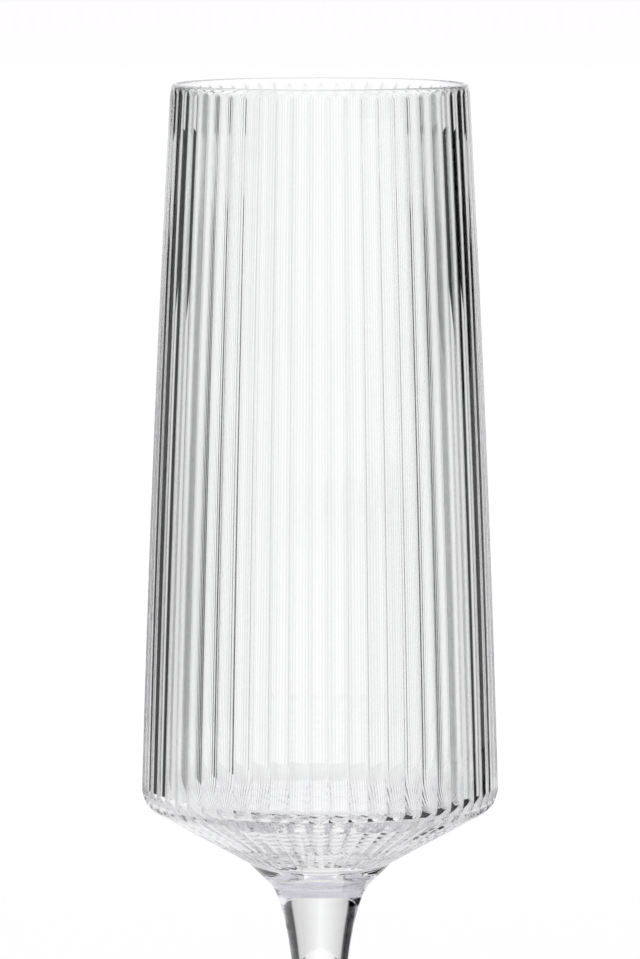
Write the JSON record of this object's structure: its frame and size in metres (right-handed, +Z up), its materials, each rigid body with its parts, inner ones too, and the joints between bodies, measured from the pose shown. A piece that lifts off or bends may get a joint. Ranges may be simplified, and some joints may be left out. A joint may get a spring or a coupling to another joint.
{
  "type": "champagne flute",
  "caption": "Tall clear-glass champagne flute: ribbed bowl that narrows to the rim over a coned shoulder, on a drawn stem and a round foot.",
  "frame": {"origin": "centre of the foot, on the surface that the glass stands on", "axes": "+Z up along the axis of the glass, from foot to rim; +X and +Y are equal, since the glass is round"},
  "size_m": [0.068, 0.068, 0.238],
  "materials": {
    "glass": "clear, fire-polished"
  },
  "bodies": {
    "root": {"bowl": "glass", "stem": "glass", "foot": "glass"}
  },
  "joints": []
}
